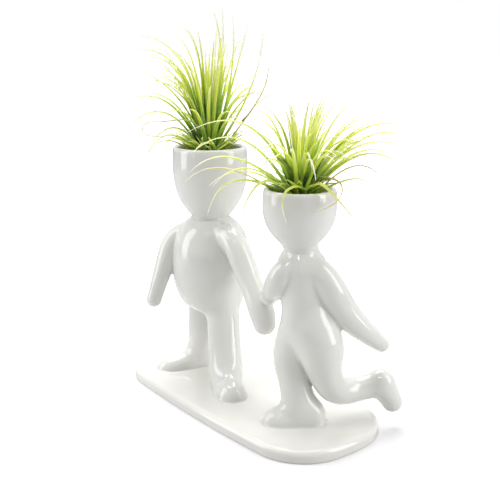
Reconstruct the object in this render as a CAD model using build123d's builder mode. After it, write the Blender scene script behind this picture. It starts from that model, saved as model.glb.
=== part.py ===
import os
from math import cos, radians, sin

from build123d import *

os.makedirs("parts", exist_ok=True)

# Base plate: a bowed oval with a rolled upper edge
base_length = 177
base_width = 82
base_thickness = 7
base_side_bow = 4
base_end_bow = 7
base_corner_radius = 31
base_top_round = 3.2
base_foot_round = 1

# Heads: open cups that hold the plants
cup_wall = 3
cup_lip_round = 1.3
cup_floor_radius = 8
neck_seat_depth = 2.5

# Limbs end in rounded tips, as a share of the tip's own radius
tip_round_share = 0.75

# Feet: the heel's width as a share of the toe's, the instep's fall and rounding as shares of its height
heel_share = 0.88
instep_fall = 0.35
instep_round = 0.42

# Tall figure, heights above the plate
tall_x = -base_length * 0.1864
tall_y = -2
tall_neck_height = 100
tall_neck_radius = 12.4
tall_head_height = 43
tall_head_radius = 22.2
tall_cheek_radius = 17.9
tall_rim_radius = 21.7
tall_cup_depth = 27
tall_shoulder_radius = 20
tall_belly_radius = 23.6
tall_belly_height = 69
tall_seat_radius = 17
tall_crotch_height = 39
tall_leg_radius = 9.8
tall_ankle_radius = 9.2
tall_foot_length = 37
tall_foot_width = 18.5
tall_foot_height = 11
tall_arm_radius = 7
tall_hand_radius = 4.8

# Short figure, heights above the plate
short_x = base_length * 0.2684
short_y = -3
short_neck_height = 96
short_neck_radius = 8.8
short_head_height = 33.2
short_head_radius = 19.6
short_cheek_radius = 14.3
short_rim_radius = 19.1
short_cup_depth = 22
short_chest_radius = 13.6
short_waist_radius = 12.6
short_hip_radius = 14.2
short_hip_height = 43
short_haunch_radius = 12.8
short_thigh_radius = 9.8
short_shin_radius = 6.4
short_ankle_radius = 8.8
short_foot_length = 37
short_foot_width = 16
short_foot_height = 10
short_arm_radius = 7.4
short_hand_radius = 3.8

# Plants
plant_clearance = 0.3
stem_foot_radius = 4
stem_radius = 6
crown_radius = 6.5
crown_depth = 6
crown_rise = 4
crown_taper = 0.25
leaf_width = 3
leaf_thickness = 1
leaf_tip_width = 0.5
dry_leaf_width = 1.6
leaf_steps = 8

tall_foot = Vector(tall_x, tall_y, base_thickness)
short_foot = Vector(short_x, short_y, base_thickness)
figure_span = short_x - tall_x
up = Vector(0, 0, 1)


def upright_plane(foot):
    """The plane of a figure's turned profile: reach along its x, height above the plate along its y."""
    return Plane(origin=foot, x_dir=(1, 0, 0), z_dir=(0, -1, 0))


def limb(figure, foot, stations, rounded=(-1,)):
    """Lofts a round limb through stations (x, y, height, radius) and rounds its listed ends."""
    points = [foot + Vector(x, y, height) for x, y, height, radius in stations]
    sections = []
    for index, (x, y, height, radius) in enumerate(stations):
        heading = points[min(index + 1, len(points) - 1)] - points[max(index - 1, 0)]
        across = Vector(0, 1, 0).cross(heading)
        station = Plane(origin=points[index], x_dir=across, z_dir=heading)
        with BuildSketch(station, mode=Mode.PRIVATE) as section:
            Circle(radius)
        sections.append(section.sketch)
    loft(sections)
    for end in rounded:
        tip = figure.faces().filter_by(GeomType.PLANE).sort_by_distance(points[end])[0]
        fillet(tip.edges(), stations[end][-1] * tip_round_share)


def foot_form(figure, ankle, azimuth, length, width, height):
    """Raises a foot on the plate: a sole from heel to toe under an instep that slopes to the toe."""
    ahead = Vector(cos(radians(azimuth)), sin(radians(azimuth)), 0)
    side = up.cross(ahead)
    heel_radius = width * heel_share / 2
    toe_radius = width / 2
    with BuildSketch(Plane(origin=ankle, x_dir=ahead, z_dir=up), mode=Mode.PRIVATE) as sole:
        Circle(heel_radius)
        with Locations((length - heel_radius - toe_radius, 0)):
            Circle(toe_radius)
        make_hull()
    extrude(sole.sketch, amount=height * 1.5)
    instep = ahead * length - up * (height * instep_fall)
    above = Plane(origin=ankle + up * height, x_dir=side, z_dir=instep.cross(side))
    split(bisect_by=above, keep=Keep.BOTTOM)
    fillet(figure.faces().sort_by(Axis.Z)[-1].edges(), height * instep_round)


def cup(foot, neck_height, neck_radius, height, head_radius, cheek_radius, rim_radius, depth):
    """Turns a head: a deep rounded cup on a narrow foot, with a rolled lip."""
    rim_height = neck_height + height
    with BuildSketch(upright_plane(foot), mode=Mode.PRIVATE) as profile:
        with BuildLine():
            skin = Spline(
                (0, neck_height - neck_seat_depth),
                (neck_radius * 0.72, neck_height - neck_seat_depth * 0.4),
                (neck_radius, neck_height + height * 0.06),
                (cheek_radius, neck_height + height * 0.25),
                ((cheek_radius + head_radius * 2) / 3, neck_height + height * 0.43),
                (head_radius, neck_height + height * 0.72),
                (rim_radius, rim_height),
            )
            Polyline(skin @ 1, (0, rim_height), skin @ 0)
        make_face()
        with BuildLine():
            floor = Line((0, rim_height - depth), (cup_floor_radius, rim_height - depth))
            wall = Spline(floor @ 1, (rim_radius - cup_wall, rim_height), tangents=((1, 0.3), (0, 1)))
            Polyline(wall @ 1, (0, rim_height), floor @ 0)
        make_face(mode=Mode.SUBTRACT)
    revolve(profile.sketch, axis=Axis(foot, up))


with BuildPart() as base_plate:
    with BuildSketch() as outline:
        with BuildLine():
            corner_x = base_length / 2 - base_end_bow
            corner_y = base_width / 2 - base_side_bow
            ThreePointArc((-corner_x, -corner_y), (0, -base_width / 2), (corner_x, -corner_y))
            ThreePointArc((corner_x, -corner_y), (base_length / 2, 0), (corner_x, corner_y))
            ThreePointArc((corner_x, corner_y), (0, base_width / 2), (-corner_x, corner_y))
            ThreePointArc((-corner_x, corner_y), (-base_length / 2, 0), (-corner_x, -corner_y))
        make_face()
        fillet(outline.vertices(), base_corner_radius)
    extrude(amount=base_thickness)
    fillet(base_plate.edges().group_by(Axis.Z)[-1], base_top_round)
    fillet(base_plate.edges().group_by(Axis.Z)[0], base_foot_round)
base_plate.part.label = "base_plate"
export_step(base_plate.part, "parts/base_plate.step")

with BuildPart() as tall_head_cup:
    cup(tall_foot, tall_neck_height, tall_neck_radius, tall_head_height, tall_head_radius,
        tall_cheek_radius, tall_rim_radius, tall_cup_depth)
    fillet(tall_head_cup.edges().group_by(Axis.Z)[-1], cup_lip_round)
tall_head_cup.part.label = "tall_head_cup"
export_step(tall_head_cup.part, "parts/tall_head_cup.step")

tall_shoulder_height = tall_neck_height - 9
with BuildPart() as tall_torso:
    with BuildSketch(upright_plane(tall_foot)):
        with BuildLine():
            body = Spline(
                (0, tall_crotch_height),
                (tall_seat_radius, tall_crotch_height + 7.5),
                (tall_belly_radius, tall_belly_height),
                (tall_shoulder_radius, tall_shoulder_height),
                (tall_neck_radius, tall_neck_height),
                tangents=((1, 0), (-1, 0.7)),
            )
            Polyline(body @ 1, (0, tall_neck_height), body @ 0)
        make_face()
    revolve(axis=Axis(tall_foot, up))
    add(tall_head_cup.part, mode=Mode.SUBTRACT)
tall_torso.part.label = "tall_torso"
export_step(tall_torso.part, "parts/tall_torso.step")

with BuildPart() as tall_outer_arm:
    limb(tall_outer_arm, tall_foot, (
        (-4, -5, tall_shoulder_height, tall_arm_radius),
        (-12.5, -15.5, tall_shoulder_height - 3, tall_arm_radius - 0.5),
        (-16, -23, tall_shoulder_height - 19, tall_arm_radius - 1.2),
        (-18, -28, tall_shoulder_height - 35, tall_hand_radius),
        (-19.5, -31, tall_shoulder_height - 46, tall_hand_radius - 0.4),
    ))
    add(tall_torso.part, mode=Mode.SUBTRACT)
tall_outer_arm.part.label = "tall_outer_arm"
export_step(tall_outer_arm.part, "parts/tall_outer_arm.step")

with BuildPart() as tall_inner_arm:
    limb(tall_inner_arm, tall_foot, (
        (figure_span * 0.1, -2, tall_shoulder_height, tall_arm_radius),
        (figure_span * 0.26, -2, tall_shoulder_height + 1, tall_arm_radius + 0.2),
        (figure_span * 0.41, -2, tall_shoulder_height - 11, tall_arm_radius + 0.2),
        (figure_span * 0.534, -2, tall_shoulder_height - 25, tall_arm_radius - 0.4),
        (figure_span * 0.64, -2, tall_shoulder_height - 38, tall_arm_radius + 0.2),
        (figure_span * 0.677, -1.5, tall_shoulder_height - 49, tall_hand_radius + 0.4),
    ))
    add(tall_torso.part, mode=Mode.SUBTRACT)
tall_inner_arm.part.label = "tall_inner_arm"
export_step(tall_inner_arm.part, "parts/tall_inner_arm.step")

with BuildPart() as tall_outer_leg:
    foot_form(tall_outer_leg, tall_foot + Vector(-17.5, 5, 0), 256,
              tall_foot_length, tall_foot_width, tall_foot_height)
    limb(tall_outer_leg, tall_foot, (
        (-8, 1, tall_crotch_height + 8, tall_leg_radius),
        (-12.5, 2.5, tall_crotch_height - 10, tall_leg_radius),
        (-16.5, 4.5, 14, tall_ankle_radius),
        (-17.5, 5, -2, tall_ankle_radius),
    ), rounded=())
    split(bisect_by=Plane.XY.offset(base_thickness), keep=Keep.TOP)
    add(tall_torso.part, mode=Mode.SUBTRACT)
tall_outer_leg.part.label = "tall_outer_leg"
export_step(tall_outer_leg.part, "parts/tall_outer_leg.step")

with BuildPart() as tall_inner_leg:
    foot_form(tall_inner_leg, tall_foot + Vector(19.5, -4, 0), 332,
              tall_foot_length, tall_foot_width, tall_foot_height)
    limb(tall_inner_leg, tall_foot, (
        (10, 1, tall_crotch_height + 10, tall_leg_radius),
        (14.5, -1.5, tall_crotch_height - 10, tall_leg_radius),
        (18.5, -3.5, 14, tall_ankle_radius),
        (19.5, -4, -2, tall_ankle_radius),
    ), rounded=())
    split(bisect_by=Plane.XY.offset(base_thickness), keep=Keep.TOP)
    add(tall_torso.part, mode=Mode.SUBTRACT)
    add(tall_outer_leg.part, mode=Mode.SUBTRACT)
tall_inner_leg.part.label = "tall_inner_leg"
export_step(tall_inner_leg.part, "parts/tall_inner_leg.step")

with BuildPart() as short_head_cup:
    cup(short_foot, short_neck_height, short_neck_radius, short_head_height, short_head_radius,
        short_cheek_radius, short_rim_radius, short_cup_depth)
    fillet(short_head_cup.edges().group_by(Axis.Z)[-1], cup_lip_round)
short_head_cup.part.label = "short_head_cup"
export_step(short_head_cup.part, "parts/short_head_cup.step")

with BuildPart() as short_torso:
    limb(short_torso, short_foot, (
        (1, 1, short_neck_height, short_neck_radius),
        (1, 1, short_neck_height - 5, short_chest_radius - 1.5),
        (1.5, 1.5, short_neck_height - 13, short_chest_radius),
        (3.5, 2.4, short_neck_height - 30, short_waist_radius),
        (5, 2.9, short_hip_height + 12, short_hip_radius),
        (5.6, 3.1, short_hip_height + 1, short_hip_radius - 1.8),
    ))
    add(short_head_cup.part, mode=Mode.SUBTRACT)
short_torso.part.label = "short_torso"
export_step(short_torso.part, "parts/short_torso.step")

short_shoulder_height = short_neck_height - 7
with BuildPart() as short_outer_arm:
    limb(short_outer_arm, short_foot, (
        (4, 0, short_shoulder_height, short_arm_radius),
        (11.5, 3.5, short_shoulder_height - 4, short_arm_radius + 0.4),
        (18, 13.4, short_shoulder_height - 21.9, short_arm_radius + 0.6),
        (24.1, 25.4, short_shoulder_height - 36.8, short_arm_radius - 1.2),
        (29.5, 39, short_shoulder_height - 49, short_hand_radius - 0.2),
    ))
    add(short_torso.part, mode=Mode.SUBTRACT)
    add(short_head_cup.part, mode=Mode.SUBTRACT)
short_outer_arm.part.label = "short_outer_arm"
export_step(short_outer_arm.part, "parts/short_outer_arm.step")

with BuildPart() as short_inner_arm:
    limb(short_inner_arm, short_foot, (
        (3, -3, short_shoulder_height + 2, short_arm_radius - 2.4),
        (figure_span * -0.012, -9.6, short_shoulder_height - 4, short_arm_radius - 0.8),
        (figure_span * -0.04, -10.8, short_shoulder_height - 8, short_arm_radius - 0.7),
        (figure_span * -0.1, -9.5, short_shoulder_height - 14, short_arm_radius - 1),
        (figure_span * -0.205, -5, short_shoulder_height - 20, short_hand_radius + 1.8),
        (figure_span * -0.31, -1, short_shoulder_height - 26, short_hand_radius + 1.2),
    ))
    add(short_torso.part, mode=Mode.SUBTRACT)
    add(short_head_cup.part, mode=Mode.SUBTRACT)
    add(tall_inner_arm.part, mode=Mode.SUBTRACT)
short_inner_arm.part.label = "short_inner_arm"
export_step(short_inner_arm.part, "parts/short_inner_arm.step")

with BuildPart() as short_standing_leg:
    foot_form(short_standing_leg, short_foot + Vector(9.5, 3, 0), 235,
              short_foot_length, short_foot_width, short_foot_height)
    limb(short_standing_leg, short_foot, (
        (1.5, 1, short_hip_height + 13, short_thigh_radius - 2.3),
        (-1.4, -1.6, short_hip_height + 1, short_thigh_radius),
        (-2.6, -2.9, short_hip_height - 9, short_thigh_radius - 0.6),
        (-0.6, -2.6, 26, short_thigh_radius - 1.1),
        (2.6, -2.3, 15.7, short_ankle_radius),
        (5.6, 0.6, -2, short_ankle_radius + 0.6),
    ), rounded=())
    split(bisect_by=Plane.XY.offset(base_thickness), keep=Keep.TOP)
    add(short_torso.part, mode=Mode.SUBTRACT)
short_standing_leg.part.label = "short_standing_leg"
export_step(short_standing_leg.part, "parts/short_standing_leg.step")

with BuildPart() as short_raised_leg:
    limb(short_raised_leg, short_foot, (
        (27, 36.5, 26, short_shin_radius - 1.2),
        (29, 39, 18, short_shin_radius - 0.4),
        (33, 45, 4, short_shin_radius - 1.6),
    ), rounded=(0, -1))
    limb(short_raised_leg, short_foot, (
        (7, 2.8, short_hip_height + 17, short_haunch_radius - 4.3),
        (11, 3.6, short_hip_height + 8, short_haunch_radius - 0.6),
        (13, 5, short_hip_height - 1, short_haunch_radius),
        (14.6, 7.2, short_hip_height - 12.8, short_thigh_radius + 0.2),
        (17, 12.6, short_hip_height - 24, short_shin_radius + 1.6),
        (20.5, 25.6, 16.2, short_shin_radius),
        (27.4, 37, 18.8, short_shin_radius - 0.8),
    ), rounded=())
    add(short_torso.part, mode=Mode.SUBTRACT)
    add(short_standing_leg.part, mode=Mode.SUBTRACT)
    add(short_outer_arm.part, mode=Mode.SUBTRACT)
short_raised_leg.part.label = "short_raised_leg"
export_step(short_raised_leg.part, "parts/short_raised_leg.step")


def stem(foot, rim_height, depth):
    """Turns the bulbous stem that stands on the cup's floor, up to the plane where its leaves begin."""
    floor = rim_height - depth + plant_clearance
    collar = rim_height - crown_depth
    with BuildSketch(upright_plane(foot), mode=Mode.PRIVATE) as profile:
        with BuildLine():
            waist = (stem_radius, (floor + collar) / 2)
            side = Spline((stem_foot_radius, floor), waist, (crown_radius, collar))
            Polyline(side @ 1, (0, collar), (0, floor), side @ 0)
        make_face()
    revolve(profile.sketch, axis=Axis(foot, up))


def crown(foot, rim_height):
    """Turns the leaf-bearing top of the stem, which narrows to the growing tip."""
    with BuildSketch(upright_plane(foot), mode=Mode.PRIVATE) as profile:
        with BuildLine():
            Polyline(
                (0, rim_height - crown_depth),
                (crown_radius, rim_height - crown_depth),
                (crown_radius - (crown_depth + crown_rise) * crown_taper, rim_height + crown_rise),
                (0, rim_height + crown_rise),
                close=True,
            )
        make_face()
    revolve(profile.sketch, axis=Axis(foot, up))


def leaf(foot, rim_height, azimuth, root, arch, tip, width):
    """Lofts a keeled leaf from root over arch to tip, each (reach, height) from the rim's middle."""
    outward = Vector(cos(radians(azimuth)), sin(radians(azimuth)), 0)
    side = up.cross(outward)
    heart = foot + up * rim_height
    root_reach = crown_radius - (root + crown_depth) * crown_taper - leaf_width / 2
    sections = []
    for step in range(leaf_steps + 1):
        along = step / leaf_steps
        left = 1 - along
        reach = left**2 * root_reach + 2 * along * left * arch[0] + along**2 * tip[0]
        height = left**2 * root + 2 * along * left * arch[1] + along**2 * tip[1]
        outrun = left * (arch[0] - root_reach) + along * (tip[0] - arch[0])
        climb = left * (arch[1] - root) + along * (tip[1] - arch[1])
        half = (leaf_tip_width + (width - leaf_tip_width) * left**0.8) / 2
        keel = half * 2 * leaf_thickness / leaf_width
        spot = heart + outward * reach + up * height
        station = Plane(origin=spot, x_dir=side, z_dir=outward * outrun + up * climb)
        with BuildSketch(station, mode=Mode.PRIVATE) as section:
            Polygon((-half, keel / 3), (0, -keel * 2 / 3), (half, keel / 3), align=None)
        sections.append(section.sketch)
    return loft(sections, ruled=True, mode=Mode.PRIVATE)


# Leaves, each as its azimuth, root height, arch point and tip, in millimetres from the rim's middle
tall_leaves = (
    (215, 2, (2, 72), (22, 68)),
    (241, 1, (9, 64), (41, 63)),
    (224, -1, (13, 64), (46, 54)),
    (251, 0, (14, 56), (37, 51)),
    (205, -2, (16, 56), (43, 33)),
    (263, 0, (12, 46), (30, 32)),
    (229, -3, (24, 42), (51, 24)),
    (243, -4, (28, 42), (55, 2)),
    (255, -4, (22, 27), (41, -3)),
    (235, -5, (26, 20), (39, -8)),
    (218, -4, (31, 15), (26, -10)),
    (52, -1, (30, 34), (31, 64)),
    (72, 1, (20, 54), (24, 69)),
    (33, 1, (18, 43), (16, 73)),
    (96, 2, (14, 46), (15, 78)),
    (14, 1, (15, 50), (7, 75)),
    (330, 2, (6, 40), (4, 60)),
    (120, 0, (14, 50), (30, 58)),
    (143, -1, (18, 42), (40, 36)),
    (166, -2, (20, 45), (48, 28)),
    (186, 1, (10, 58), (28, 62)),
    (153, -4, (30, 28), (50, 8)),
    (108, -3, (26, 30), (44, 14)),
    (178, -5, (29, 20), (42, -5)),
    (284, 0, (8, 40), (18, 44)),
    (300, -3, (14, 28), (28, 22)),
    (318, -1, (10, 36), (20, 36)),
    (345, -3, (14, 28), (28, 20)),
    (290, -5, (30, 15), (26, -7)),
    (2, -2, (18, 26), (30, 16)),
    (198, 3, (3, 52), (8, 66)),
    (82, 3, (3, 56), (5, 70)),
    (208, 1, (7, 46), (19, 53)),
    (232, 0, (9, 46), (26, 49)),
    (272, 1, (6, 38), (16, 52)),
    (310, 1, (5, 44), (11, 57)),
    (24, 1, (9, 40), (15, 58)),
    (62, 1, (10, 48), (19, 61)),
    (114, 1, (8, 50), (19, 66)),
    (156, 1, (8, 46), (23, 56)),
    (247, -2, (19, 36), (41, 31)),
    (276, -2, (16, 30), (34, 20)),
    (131, -2, (20, 36), (43, 25)),
    (90, -2, (18, 36), (36, 35)),
)
short_leaves = (
    (237, -1, (22, 50), (58, 29)),
    (227, -3, (29, 42), (57, 17)),
    (245, -3, (38, 30), (58, 11)),
    (255, -4, (31, 24), (50, 5)),
    (218, -4, (30, 18), (49, -1)),
    (235, -5, (40, 18), (48, -14)),
    (265, -5, (26, 20), (36, -14)),
    (222, 1, (5, 39), (23, 43)),
    (244, 0, (13, 46), (26, 39)),
    (262, 2, (3, 26), (8, 42)),
    (320, 2, (2, 30), (3, 46)),
    (72, 3, (3, 30), (7, 49)),
    (42, 2, (5, 45), (17, 49)),
    (62, 0, (15, 42), (32, 45)),
    (33, -1, (17, 38), (37, 41)),
    (73, -1, (26, 44), (46, 32)),
    (51, -2, (29, 45), (57, 29)),
    (60, -3, (35, 40), (58, 24)),
    (41, -3, (29, 38), (60, 19)),
    (48, -4, (36, 36), (58, 4)),
    (68, -4, (36, 32), (58, 10)),
    (38, -5, (30, 12), (36, 2)),
    (10, -4, (30, 16), (39, -17)),
    (303, -5, (29, 15), (24, -18)),
    (284, -2, (12, 24), (26, 18)),
    (335, 0, (8, 30), (18, 30)),
    (352, -3, (16, 26), (32, 18)),
    (100, 0, (12, 40), (26, 44)),
    (122, -2, (24, 38), (46, 24)),
    (150, 0, (10, 42), (24, 42)),
    (172, -3, (22, 26), (36, 10)),
    (195, -2, (18, 34), (36, 24)),
    (138, -4, (30, 24), (46, 2)),
    (108, -4, (30, 28), (50, 8)),
    (22, 1, (7, 36), (18, 43)),
    (52, 1, (8, 38), (21, 47)),
    (92, 1, (6, 34), (15, 47)),
    (232, 1, (6, 30), (14, 37)),
    (298, 1, (5, 28), (12, 36)),
    (344, 1, (6, 32), (14, 41)),
    (182, 1, (5, 34), (11, 44)),
    (206, 0, (10, 34), (24, 34)),
    (56, -2, (21, 34), (44, 34)),
    (27, -2, (20, 30), (43, 27)),
    (84, -2, (20, 34), (41, 30)),
    (272, -2, (16, 26), (30, 13)),
)
tall_dry_leaves = (
    (60, -8, (27, 20), (44, 35)),
    (228, -8, (30, 16), (41, -12)),
)
short_dry_leaves = (
    (24, -7, (28, 22), (40, 10)),
    (231, -8, (40, 22), (59, 4)),
)

tall_rim_height = tall_neck_height + tall_head_height
short_rim_height = short_neck_height + short_head_height

with BuildPart() as tall_plant_stem:
    stem(tall_foot, tall_rim_height, tall_cup_depth)
tall_plant_stem.part.label = "tall_plant_stem"
export_step(tall_plant_stem.part, "parts/tall_plant_stem.step")

with BuildPart() as tall_plant_leaves:
    crown(tall_foot, tall_rim_height)
    add([leaf(tall_foot, tall_rim_height, *shape, leaf_width) for shape in tall_leaves])
tall_plant_leaves.part.label = "tall_plant_leaves"
export_step(tall_plant_leaves.part, "parts/tall_plant_leaves.step")

with BuildPart() as tall_plant_dry_leaves:
    add([leaf(tall_foot, tall_rim_height, *shape, dry_leaf_width) for shape in tall_dry_leaves])
    add(tall_plant_stem.part, mode=Mode.SUBTRACT)
    add(tall_plant_leaves.part, mode=Mode.SUBTRACT)
tall_plant_dry_leaves.part.label = "tall_plant_dry_leaves"
export_step(tall_plant_dry_leaves.part, "parts/tall_plant_dry_leaves.step")

with BuildPart() as short_plant_stem:
    stem(short_foot, short_rim_height, short_cup_depth)
short_plant_stem.part.label = "short_plant_stem"
export_step(short_plant_stem.part, "parts/short_plant_stem.step")

with BuildPart() as short_plant_leaves:
    crown(short_foot, short_rim_height)
    add([leaf(short_foot, short_rim_height, *shape, leaf_width) for shape in short_leaves])
short_plant_leaves.part.label = "short_plant_leaves"
export_step(short_plant_leaves.part, "parts/short_plant_leaves.step")

with BuildPart() as short_plant_dry_leaves:
    add([leaf(short_foot, short_rim_height, *shape, dry_leaf_width) for shape in short_dry_leaves])
    add(short_plant_stem.part, mode=Mode.SUBTRACT)
    add(short_plant_leaves.part, mode=Mode.SUBTRACT)
short_plant_dry_leaves.part.label = "short_plant_dry_leaves"
export_step(short_plant_dry_leaves.part, "parts/short_plant_dry_leaves.step")
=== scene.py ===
import math

import bpy
import numpy as np
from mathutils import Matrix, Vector


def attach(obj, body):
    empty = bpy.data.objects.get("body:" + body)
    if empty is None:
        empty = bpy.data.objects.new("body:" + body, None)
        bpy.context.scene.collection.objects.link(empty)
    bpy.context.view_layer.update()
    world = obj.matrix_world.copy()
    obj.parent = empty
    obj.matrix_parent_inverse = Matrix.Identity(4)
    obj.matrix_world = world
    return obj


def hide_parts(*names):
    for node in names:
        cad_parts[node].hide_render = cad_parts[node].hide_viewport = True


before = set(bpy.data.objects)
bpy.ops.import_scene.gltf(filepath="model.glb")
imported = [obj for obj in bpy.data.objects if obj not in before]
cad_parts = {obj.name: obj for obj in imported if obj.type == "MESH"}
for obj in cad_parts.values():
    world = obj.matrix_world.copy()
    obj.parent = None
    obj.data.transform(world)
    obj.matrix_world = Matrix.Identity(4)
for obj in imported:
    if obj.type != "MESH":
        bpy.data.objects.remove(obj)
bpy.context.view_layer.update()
scene = bpy.context.scene
scene.view_settings.view_transform = "Standard"

plateTop = 7.0  # all shapes are worked out in millimetres, and go into the mesh in metres
tallSpot = np.array([-33.0, -2.0, plateTop])
shortSpot = np.array([47.5, -3.0, plateTop])


class Shade:
    # wraps one socket of a node tree: operators on values add Math nodes, node() adds any other
    def __init__(self, tree, socket=None):
        self.tree, self.socket = tree, socket

    def node(self, kind, settings=None, inputs=None, out=0):
        made = self.tree.nodes.new(kind)
        for key, value in (settings or {}).items():
            if key == "stops":  # of a colour ramp: position and colour
                ramp = made.color_ramp.elements
                while len(ramp) < len(value):
                    ramp.new(1)
                for stop, (place, colour) in zip(ramp, value):
                    stop.position, stop.color = place, (*colour, 1)
            else:
                setattr(made, key, value)
        for key, value in (inputs or {}).items():
            socket = made.inputs[key] if isinstance(key, int) else next(
                s for s in made.inputs if s.enabled and s.name == key)
            if isinstance(value, Shade):
                self.tree.links.new(value.socket, socket)
            else:
                socket.default_value = value
        return Shade(self.tree, made.outputs[out] if made.outputs else None)

    def maths(self, operation, first, second):
        return self.node("ShaderNodeMath", {"operation": operation}, {0: first, 1: second})

    def __add__(self, other):
        return self.maths("ADD", self, other)

    def __sub__(self, other):
        return self.maths("SUBTRACT", self, other)

    def __rsub__(self, other):
        return self.maths("SUBTRACT", other, self)

    def __mul__(self, other):
        return self.maths("MULTIPLY", self, other)

    __radd__, __rmul__ = __add__, __mul__

    def between(self, low, high):
        # 0 at low, 1 at high, and level beyond them
        return self.node("ShaderNodeMapRange", {"clamp": True},
                         {"Value": self, "From Min": low, "From Max": high})

    def mixed(self, first, second):
        # colour mix: first where this value is 0, second where it is 1
        first, second = ((*c, 1) if isinstance(c, tuple) else c for c in (first, second))
        return self.node("ShaderNodeMix", {"data_type": "RGBA"},
                         {"Factor": self, "A": first, "B": second}, out=2)


def newMaterial(name):
    # an empty node tree, and the shade that adds to it
    material = bpy.data.materials.new(name)
    material.use_nodes = True
    material.node_tree.nodes.clear()
    return material, Shade(material.node_tree)


def finishMaterial(shade, inputs):
    # one principled surface into the output
    surface = shade.node("ShaderNodeBsdfPrincipled", None, inputs)
    shade.node("ShaderNodeOutputMaterial", None, {"Surface": surface})


# Glaze: warm white over a pale body, greener and darker in hollows as pooled glaze with painted crease shade,
# thinner on lips and edges
glaze = {
    "white": (0.80, 0.80, 0.765), "cloud": (0.765, 0.77, 0.735),
    # the plate's two colours: the same glaze painted lighter, as painted light on the plate's top, which
    # faces the overhead lamp
    "plate": (0.885, 0.875, 0.835), "litPlateCloud": (0.85, 0.84, 0.79),
    # the pool colour: pooled glaze in hollows, made darker and greener as painted crease shade and a painted
    # green reflection of the leaves
    "pool": (0.64, 0.68, 0.59), "thin": (0.80, 0.775, 0.72), "bisque": (0.68, 0.63, 0.55),
    "poolAndShadeShare": 0.85, "thinShare": 0.6, "speckShare": 0.25,
    "cloudScale": 26, "speckScale": 900, "rippleScale": 140, "orangePeel": 0.02,
    "roughness": 0.045, "cloudRoughness": 0.05, "bareRoughness": 0.6, "coat": 0.35,
    "bareHeight": (0.0003, 0.0007),  # the unglazed ring that stood on the kiln shelf, in metres
}


def glazeMaterial(name, white, cloudy):
    # white to cloudy by a slow noise, then pooled glaze with painted shade in hollows, thin edges, specks and
    # the bare foot mixed over it in turn
    material, shade = newMaterial(name)
    place = shade.node("ShaderNodeTexCoord", out="Object")
    cloud = shade.node("ShaderNodeTexNoise", None,
                       {"Vector": place, "Scale": glaze["cloudScale"], "Detail": 3, "Roughness": 0.55})
    speck = shade.node("ShaderNodeTexNoise", None,
                       {"Vector": place, "Scale": glaze["speckScale"], "Detail": 2})
    ripple = shade.node("ShaderNodeTexNoise", None,
                        {"Vector": place, "Scale": glaze["rippleScale"], "Detail": 1.5})
    pool = shade.node("ShaderNodeAttribute", {"attribute_name": "glazePool"}, out="Fac")
    height = shade.node("ShaderNodeSeparateXYZ", None, {0: place}, out="Z")
    bare = 1 - height.between(*glaze["bareHeight"])
    colour = cloud.between(0.35, 0.65).mixed(white, cloudy)
    # hollows: pooled glaze, with painted crease shade and a painted green reflection of the leaves
    colour = (pool.between(0.04, 0.9) * glaze["poolAndShadeShare"]).mixed(colour, glaze["pool"])
    colour = (pool.between(-0.05, -0.6) * glaze["thinShare"]).mixed(colour, glaze["thin"])
    colour = (speck.between(0.70, 0.78) * glaze["speckShare"]).mixed(colour, glaze["bisque"])
    colour = bare.mixed(colour, glaze["bisque"])
    rough = glaze["roughness"] + cloud.between(0.3, 0.7) * glaze["cloudRoughness"]
    rough = rough + bare * glaze["bareRoughness"]
    bump = shade.node("ShaderNodeBump", None,
                      {"Height": ripple + speck * 0.12, "Strength": glaze["orangePeel"], "Distance": 0.001})
    finishMaterial(shade, {"Base Color": colour, "Roughness": rough, "IOR": 1.52, "Normal": bump,
                           "Coat Weight": glaze["coat"] - bare * glaze["coat"], "Coat Roughness": 0.03})
    return material


# Leaves: deep green at the sheath, yellow-green along the blade, straw at the fine tip; the blade and tip are
# painted paler than a leaf's own colour, as painted glow of light shining through them
leafLook = {
    "stops": [(0.0, (0.045, 0.11, 0.010)), (0.12, (0.22, 0.42, 0.025)), (0.36, (0.66, 0.80, 0.07)),
              (0.74, (0.86, 0.90, 0.27)), (1.0, (0.95, 0.92, 0.60))],
    "fuzz": (0.70, 0.78, 0.48), "fuzzShare": 0.35, "ridgeShare": 0.16, "toneSpread": 0.34,
    "mottleSpread": 0.16, "roughness": 0.45, "glow": 0.8, "glowDepth": 0.0015, "glowReach": (1, 1, 0.5),
}
dryLook = {**leafLook, "fuzzShare": 0.2,
           "stops": [(0.0, (0.46, 0.42, 0.11)), (0.5, (0.70, 0.55, 0.25)), (1.0, (0.44, 0.29, 0.20))]}


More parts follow.
